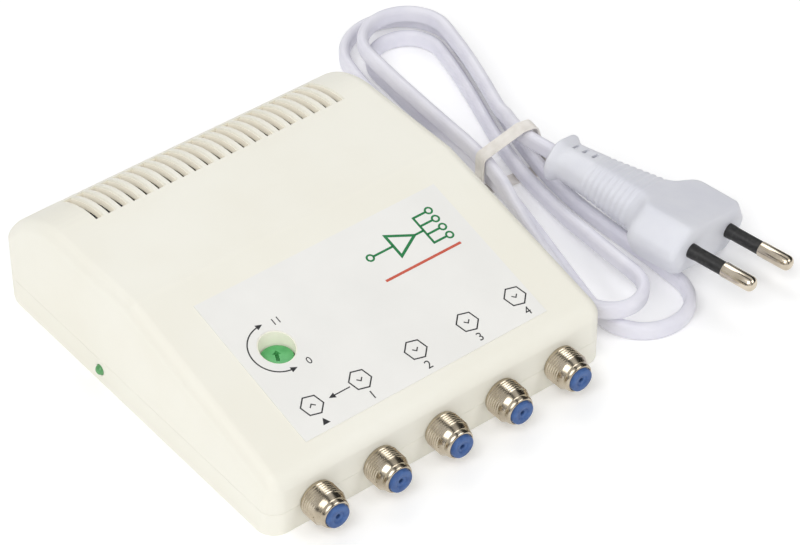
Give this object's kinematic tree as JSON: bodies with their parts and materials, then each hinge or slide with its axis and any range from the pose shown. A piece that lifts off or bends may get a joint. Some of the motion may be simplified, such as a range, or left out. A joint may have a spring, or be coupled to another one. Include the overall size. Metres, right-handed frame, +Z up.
{
  "type": "indoor tv signal amplifier",
  "caption": "Low wedge-shaped indoor TV signal amplifier with a row of threaded coaxial sockets, slotted roof vents, a gain trimmer and a hanked mains cord with a flat two-pin plug.",
  "frame": {"origin": "centre of the case's footprint, on its underside", "axes": "-Y is the front, where the sockets point; +X is to the right along the socket row; +Z is up"},
  "size_m": [0.1567, 0.1511, 0.031],
  "materials": {
    "cream_plastic": "fine moulded",
    "label_film": "printed film",
    "nickel": "nickel plated",
    "blue_plastic": "moulded",
    "contact_brass": "plain",
    "board": "solder resist",
    "screw_steel": "zinc plated",
    "shield_sheet": "tinned sheet",
    "black_plastic": "moulded",
    "green_plastic": "moulded",
    "lamp_plastic": "clear tinted",
    "core_steel": "varnished laminations",
    "bobbin_plastic": "moulded",
    "winding_copper": "enamelled wire",
    "fuse_glass": "clear",
    "capacitor_can": "sleeved can",
    "sink_aluminium": "plain",
    "ferrite": "matt",
    "cord_sheath": "soft satin",
    "wire_sheath": "satin",
    "tie_band": "matt band",
    "plug_plastic": "fine moulded"
  },
  "bodies": {
    "housing": {"base_tray": "cream_plastic", "top_cover": "cream_plastic", "front_label": "label_film", "socket_input": "nickel", "socket_insert_input": "blue_plastic", "socket_contact_input": "contact_brass", "socket_out_1": "nickel", "socket_insert_out_1": "blue_plastic", "socket_contact_out_1": "contact_brass", "socket_out_2": "nickel", "socket_insert_out_2": "blue_plastic", "socket_contact_out_2": "contact_brass", "socket_out_3": "nickel", "socket_insert_out_3": "blue_plastic", "socket_contact_out_3": "contact_brass", "socket_out_4": "nickel", "socket_insert_out_4": "blue_plastic", "socket_contact_out_4": "contact_brass", "circuit_board": "board", "board_screws": "screw_steel", "case_screws": "screw_steel", "shield_frame": "shield_sheet", "shield_lid": "shield_sheet", "trimmer_body": "black_plastic", "pilot_lamp": "lamp_plastic", "lamp_leads": "screw_steel", "transformer_core": "core_steel", "transformer_bobbin": "bobbin_plastic", "transformer_winding": "winding_copper", "fuse_tube": "fuse_glass", "fuse_caps": "nickel", "fuse_clips": "contact_brass", "rectifier_diodes": "black_plastic", "main_capacitor": "capacitor_can", "small_capacitors": "capacitor_can", "voltage_regulator": "black_plastic", "heat_sink": "sink_aluminium", "amplifier_chip": "black_plastic", "ferrite_rings": "ferrite", "cord_bush": "cord_sheath", "cord_inner": "cord_sheath", "cord_clamp": "cream_plastic", "clamp_screws": "screw_steel", "mains_wires": "wire_sheath", "cord_lead": "cord_sheath", "cord_hank": "cord_sheath", "hank_tie": "tie_band", "cord_plug_end": "cord_sheath", "plug_body": "plug_plastic", "plug_pins": "nickel", "plug_sleeves": "black_plastic"},
    "spindle": {"trimmer_spindle": "green_plastic"}
  },
  "joints": [
    {"name": "gain_trim", "type": "hinge", "parent": "housing", "child": "spindle", "pos_m": [-0.0252, -0.0264, 0.022], "axis": [0, 0, 1], "range_deg": [-168, 42]}
  ]
}
